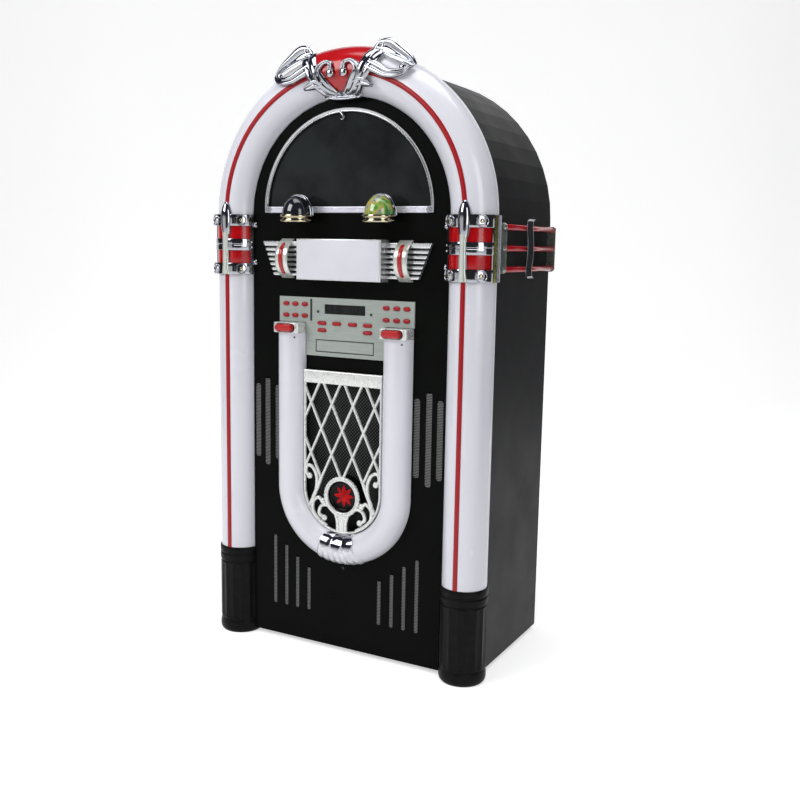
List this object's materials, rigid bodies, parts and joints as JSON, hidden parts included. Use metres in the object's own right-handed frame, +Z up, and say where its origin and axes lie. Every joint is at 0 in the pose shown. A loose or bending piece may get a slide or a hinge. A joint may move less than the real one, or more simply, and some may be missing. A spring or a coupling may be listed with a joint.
{
  "type": "jukebox",
  "caption": "Arched floor-standing jukebox with white light tubes, chrome castings, a U-shaped lattice grille, push buttons and a sliding disc tray.",
  "frame": {"origin": "bottom centre of the whole jukebox, on the floor", "axes": "+Z up, -Y toward the front, +X to the viewer's right"},
  "size_m": [0.669, 0.4174, 1.2688],
  "materials": {
    "cabinet_board": "satin black film on board",
    "front_board": "satin black film on board",
    "back_board": "matt black board",
    "foot_plastic": "satin black",
    "light_tube": "milky white gloss",
    "red_piping": "deep red gloss",
    "chrome_casting": "bright plated",
    "red_sleeve": "deep red",
    "rail_metal": "bright plated, rods red",
    "crest_casting": "bright plated",
    "red_dome": "clear red gloss",
    "window_glass": "smoked",
    "silver_trim": "satin silver",
    "lamp_glass": "dark clear dome",
    "lamp_metal": "champagne tinted plating",
    "bare_plate": "plain pale",
    "wing_chrome": "bright plated",
    "control_silver": "silver paint",
    "display_glass": "dark window",
    "grille_silver": "off-white silver",
    "speaker_mesh": "dark perforated",
    "medallion_gloss": "black gloss with a red star",
    "cap_silver": "silver with a red jewel",
    "drive_metal": "black",
    "tray_silver": "silver face, black drawer",
    "circuit_board": "green board",
    "speaker_cone": "black",
    "inlet_plastic": "black",
    "switch_plastic": "black",
    "button_red": "red gloss"
  },
  "bodies": {
    "cabinet": {"arch_tube": "light_tube", "back_panel": "back_board", "button_board": "circuit_board", "cabinet_shell": "cabinet_board", "cap_l": "cap_silver", "cap_r": "cap_silver", "clamp_l": "chrome_casting", "clamp_r": "chrome_casting", "clamp_red_l": "red_sleeve", "clamp_red_r": "red_sleeve", "control_panel": "control_silver", "crest": "crest_casting", "crest_dome": "red_dome", "disc_drive": "drive_metal", "display_lens": "display_glass", "foot_l": "foot_plastic", "foot_r": "foot_plastic", "front_panel": "front_board", "grille": "grille_silver", "lamp_base_l": "lamp_metal", "lamp_base_r": "lamp_metal", "lamp_dome_l": "lamp_glass", "lamp_dome_r": "lamp_glass", "loudspeaker": "speaker_cone", "medallion": "medallion_gloss", "name_plate": "bare_plate", "pillar_tube_l": "light_tube", "pillar_tube_r": "light_tube", "piping_arch": "red_piping", "piping_l": "red_piping", "piping_r": "red_piping", "power_inlet": "inlet_plastic", "side_rail_l": "rail_metal", "side_rail_r": "rail_metal", "speaker_mesh": "speaker_mesh", "u_tube": "light_tube", "window_glass": "window_glass", "window_trim": "silver_trim", "wing_l": "wing_chrome", "wing_r": "wing_chrome"},
    "tray": {"disc_tray": "tray_silver"},
    "button_a1": {"button_a1": "button_red"},
    "button_a2": {"button_a2": "button_red"},
    "button_a3": {"button_a3": "button_red"},
    "button_a4": {"button_a4": "button_red"},
    "button_a5": {"button_a5": "button_red"},
    "button_a6": {"button_a6": "button_red"},
    "button_b1": {"button_b1": "button_red"},
    "button_b2": {"button_b2": "button_red"},
    "button_b3": {"button_b3": "button_red"},
    "button_b4": {"button_b4": "button_red"},
    "button_b5": {"button_b5": "button_red"},
    "button_b6": {"button_b6": "button_red"},
    "button_c1": {"button_c1": "button_red"},
    "button_c2": {"button_c2": "button_red"},
    "button_c3": {"button_c3": "button_red"},
    "button_c4": {"button_c4": "button_red"},
    "button_c5": {"button_c5": "button_red"},
    "button_c6": {"button_c6": "button_red"},
    "rocker": {"power_switch": "switch_plastic"}
  },
  "joints": [
    {"name": "tray_slide", "type": "slide", "parent": "cabinet", "child": "tray", "axis": [0, -1, 0], "range_m": [0, 0.13]},
    {"name": "button_a1_press", "type": "slide", "parent": "cabinet", "child": "button_a1", "axis": [0, 1, 0], "range_m": [0, 0.0015], "stiffness_N_per_m": 400},
    {"name": "button_a2_press", "type": "slide", "parent": "cabinet", "child": "button_a2", "axis": [0, 1, 0], "range_m": [0, 0.0015], "stiffness_N_per_m": 400},
    {"name": "button_a3_press", "type": "slide", "parent": "cabinet", "child": "button_a3", "axis": [0, 1, 0], "range_m": [0, 0.0015], "stiffness_N_per_m": 400},
    {"name": "button_a4_press", "type": "slide", "parent": "cabinet", "child": "button_a4", "axis": [0, 1, 0], "range_m": [0, 0.0015], "stiffness_N_per_m": 400},
    {"name": "button_a5_press", "type": "slide", "parent": "cabinet", "child": "button_a5", "axis": [0, 1, 0], "range_m": [0, 0.0015], "stiffness_N_per_m": 400},
    {"name": "button_a6_press", "type": "slide", "parent": "cabinet", "child": "button_a6", "axis": [0, 1, 0], "range_m": [0, 0.0015], "stiffness_N_per_m": 400},
    {"name": "button_b1_press", "type": "slide", "parent": "cabinet", "child": "button_b1", "axis": [0, 1, 0], "range_m": [0, 0.0015], "stiffness_N_per_m": 400},
    {"name": "button_b2_press", "type": "slide", "parent": "cabinet", "child": "button_b2", "axis": [0, 1, 0], "range_m": [0, 0.0015], "stiffness_N_per_m": 400},
    {"name": "button_b3_press", "type": "slide", "parent": "cabinet", "child": "button_b3", "axis": [0, 1, 0], "range_m": [0, 0.0015], "stiffness_N_per_m": 400},
    {"name": "button_b4_press", "type": "slide", "parent": "cabinet", "child": "button_b4", "axis": [0, 1, 0], "range_m": [0, 0.0015], "stiffness_N_per_m": 400},
    {"name": "button_b5_press", "type": "slide", "parent": "cabinet", "child": "button_b5", "axis": [0, 1, 0], "range_m": [0, 0.0015], "stiffness_N_per_m": 400},
    {"name": "button_b6_press", "type": "slide", "parent": "cabinet", "child": "button_b6", "axis": [0, 1, 0], "range_m": [0, 0.0015], "stiffness_N_per_m": 400},
    {"name": "button_c1_press", "type": "slide", "parent": "cabinet", "child": "button_c1", "axis": [0, 1, 0], "range_m": [0, 0.0015], "stiffness_N_per_m": 400},
    {"name": "button_c2_press", "type": "slide", "parent": "cabinet", "child": "button_c2", "axis": [0, 1, 0], "range_m": [0, 0.0015], "stiffness_N_per_m": 400},
    {"name": "button_c3_press", "type": "slide", "parent": "cabinet", "child": "button_c3", "axis": [0, 1, 0], "range_m": [0, 0.0015], "stiffness_N_per_m": 400},
    {"name": "button_c4_press", "type": "slide", "parent": "cabinet", "child": "button_c4", "axis": [0, 1, 0], "range_m": [0, 0.0015], "stiffness_N_per_m": 400},
    {"name": "button_c5_press", "type": "slide", "parent": "cabinet", "child": "button_c5", "axis": [0, 1, 0], "range_m": [0, 0.0015], "stiffness_N_per_m": 400},
    {"name": "button_c6_press", "type": "slide", "parent": "cabinet", "child": "button_c6", "axis": [0, 1, 0], "range_m": [0, 0.0015], "stiffness_N_per_m": 400},
    {"name": "rocker_tilt", "type": "hinge", "parent": "cabinet", "child": "rocker", "pos_m": [0.14, 0.19975, 0.12], "axis": [1, 0, 0], "range_deg": [-5, 5]}
  ]
}
